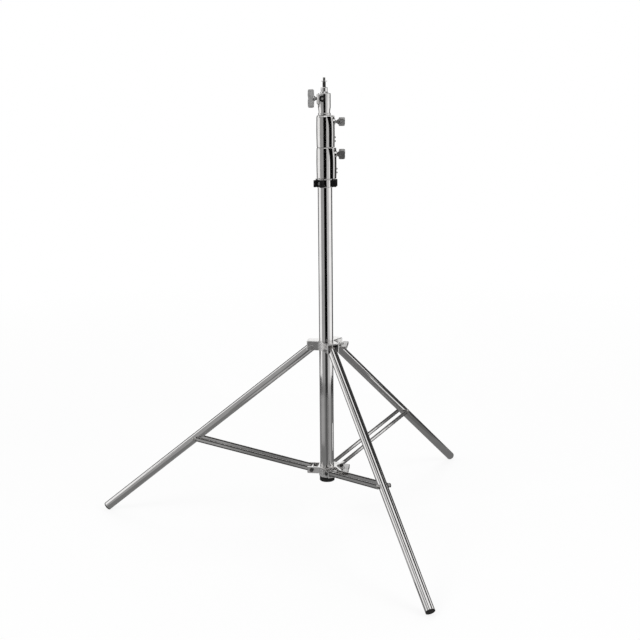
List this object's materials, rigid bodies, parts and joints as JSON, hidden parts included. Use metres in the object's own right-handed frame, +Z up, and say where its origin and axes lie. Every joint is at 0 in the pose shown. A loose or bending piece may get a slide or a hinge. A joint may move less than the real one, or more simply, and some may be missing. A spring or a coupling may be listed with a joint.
{
  "type": "light stand",
  "caption": "Polished steel light stand: telescopic mast with clamp sleeves and T-knobs, folding tripod legs braced by flat strut bars, threaded spigot on top.",
  "frame": {"origin": "on the mast axis, at the height of the floor that the feet stand on", "axes": "+Z up along the mast, +X towards the knobs of the two clamp sleeves, -X towards the head knob, -Y towards the viewer of the picture"},
  "size_m": [0.9528, 1.0152, 1.1097],
  "materials": {
    "polished_steel": "mirror-polished stainless steel tube",
    "pressed_steel": "polished pressed steel sheet, a little softer than the tubes",
    "satin_metal": "satin grey cast metal",
    "dark_steel": "blackened steel",
    "brass": "plain machined brass",
    "black_rubber": "matt black rubber",
    "black_plastic": "black moulded plastic",
    "grey_nylon": "grey nylon"
  },
  "bodies": {
    "column": {"column_tube": "polished_steel", "base_cap": "black_rubber", "lower_sleeve": "pressed_steel", "lower_liner": "grey_nylon", "lower_brake_shoe": "brass", "clip_band": "pressed_steel", "clip_1": "black_plastic", "clip_2": "black_plastic", "clip_3": "black_plastic", "lower_collar": "pressed_steel", "strut_pivot_bolt_front": "dark_steel", "strut_pivot_bolt_back": "dark_steel", "strut_pivot_bolt_left": "dark_steel", "strut_spacer_front": "pressed_steel", "strut_spacer_back": "pressed_steel", "strut_spacer_left": "pressed_steel"},
    "middle_section": {"middle_tube": "polished_steel", "middle_guide": "grey_nylon", "upper_sleeve": "pressed_steel", "upper_liner": "grey_nylon", "upper_brake_shoe": "brass"},
    "top_section": {"top_tube": "polished_steel", "top_guide": "grey_nylon", "head_casting": "pressed_steel", "head_screw": "pressed_steel"},
    "spigot": {"spigot": "polished_steel"},
    "leg_collar": {"upper_collar": "pressed_steel", "leg_pin_front": "pressed_steel", "leg_pin_back": "pressed_steel", "leg_pin_left": "pressed_steel"},
    "lower_sleeve_knob": {"lower_sleeve_knob": "satin_metal"},
    "upper_sleeve_knob": {"upper_sleeve_knob": "satin_metal"},
    "head_knob": {"head_knob": "satin_metal"},
    "upper_collar_knob": {"upper_collar_knob": "satin_metal"},
    "lower_collar_knob": {"lower_collar_knob": "satin_metal"},
    "leg_front": {"leg_front": "polished_steel", "pivot_bush_front": "grey_nylon", "leg_bush_front": "pressed_steel", "foot_plug_front": "black_rubber"},
    "strut_front": {"strut_front_right": "polished_steel", "strut_front_left": "polished_steel", "strut_bolt_head_front": "polished_steel", "strut_bolt_nut_front": "dark_steel"},
    "leg_back": {"leg_back": "polished_steel", "pivot_bush_back": "grey_nylon", "leg_bush_back": "pressed_steel", "foot_plug_back": "black_rubber"},
    "strut_back": {"strut_back_right": "polished_steel", "strut_back_left": "polished_steel", "strut_bolt_head_back": "polished_steel", "strut_bolt_nut_back": "dark_steel"},
    "leg_left": {"leg_left": "polished_steel", "pivot_bush_left": "grey_nylon", "leg_bush_left": "pressed_steel", "foot_plug_left": "black_rubber"},
    "strut_left": {"strut_left_right": "polished_steel", "strut_left_left": "polished_steel", "strut_bolt_head_left": "polished_steel", "strut_bolt_nut_left": "dark_steel"}
  },
  "joints": [
    {"name": "collar_slide", "type": "slide", "parent": "column", "child": "leg_collar", "axis": [0, 0, 1], "range_m": [0, 0.37789]},
    {"name": "middle_slide", "type": "slide", "parent": "column", "child": "middle_section", "axis": [0, 0, 1], "range_m": [0, 0.7]},
    {"name": "top_slide", "type": "slide", "parent": "middle_section", "child": "top_section", "axis": [0, 0, 1], "range_m": [0, 0.7]},
    {"name": "spigot_turn", "type": "hinge", "parent": "top_section", "child": "spigot", "pos_m": [0, 0, 1.07334], "axis": [0, 0, 1], "continuous": true},
    {"name": "lower_sleeve_knob_turn", "type": "hinge", "parent": "column", "child": "lower_sleeve_knob", "pos_m": [0, 0, 0.92954], "axis": [1, 0, 0], "range_deg": [0, 270]},
    {"name": "upper_sleeve_knob_turn", "type": "hinge", "parent": "middle_section", "child": "upper_sleeve_knob", "pos_m": [0, 0, 1.00624], "axis": [1, 0, 0], "range_deg": [0, 270]},
    {"name": "head_knob_turn", "type": "hinge", "parent": "top_section", "child": "head_knob", "pos_m": [0, 0, 1.06084], "axis": [-1, 0, 0], "range_deg": [0, 270]},
    {"name": "upper_collar_knob_turn", "type": "hinge", "parent": "leg_collar", "child": "upper_collar_knob", "pos_m": [0, 0, 0.46093], "axis": [0.99, -0.1409, 0], "range_deg": [0, 270]},
    {"name": "lower_collar_knob_turn", "type": "hinge", "parent": "column", "child": "lower_collar_knob", "pos_m": [0, 0, 0.13787], "axis": [0.99, -0.1409, 0], "range_deg": [0, 270]},
    {"name": "leg_fold_front", "type": "hinge", "parent": "leg_collar", "child": "leg_front", "pos_m": [0.01307, -0.0325, 0.45622], "axis": [0.9278, 0.373, 0], "range_deg": [0, 43.22]},
    {"name": "strut_fold_front", "type": "hinge", "parent": "column", "child": "strut_front", "pos_m": [0.01381, -0.03436, 0.13842], "axis": [0.9278, 0.373, 0], "range_deg": [-67.99, 0]},
    {"name": "leg_fold_back", "type": "hinge", "parent": "leg_collar", "child": "leg_back", "pos_m": [0.02161, 0.02757, 0.45622], "axis": [-0.7869, 0.617, 0], "range_deg": [0, 43.22]},
    {"name": "strut_fold_back", "type": "hinge", "parent": "column", "child": "strut_back", "pos_m": [0.02285, 0.02914, 0.13842], "axis": [-0.7869, 0.617, 0], "range_deg": [-67.99, 0]},
    {"name": "leg_fold_left", "type": "hinge", "parent": "leg_collar", "child": "leg_left", "pos_m": [-0.03468, 0.00494, 0.45622], "axis": [-0.1409, -0.99, 0], "range_deg": [0, 43.22]},
    {"name": "strut_fold_left", "type": "hinge", "parent": "column", "child": "strut_left", "pos_m": [-0.03666, 0.00522, 0.13842], "axis": [-0.1409, -0.99, 0], "range_deg": [-67.99, 0]}
  ],
  "couplings": [
    {"joint": "leg_fold_front", "follows": "collar_slide", "rad_per_m": 1.9963},
    {"joint": "strut_fold_front", "follows": "collar_slide", "rad_per_m": -3.1401},
    {"joint": "leg_fold_back", "follows": "collar_slide", "rad_per_m": 1.9963},
    {"joint": "strut_fold_back", "follows": "collar_slide", "rad_per_m": -3.1401},
    {"joint": "leg_fold_left", "follows": "collar_slide", "rad_per_m": 1.9963},
    {"joint": "strut_fold_left", "follows": "collar_slide", "rad_per_m": -3.1401}
  ]
}
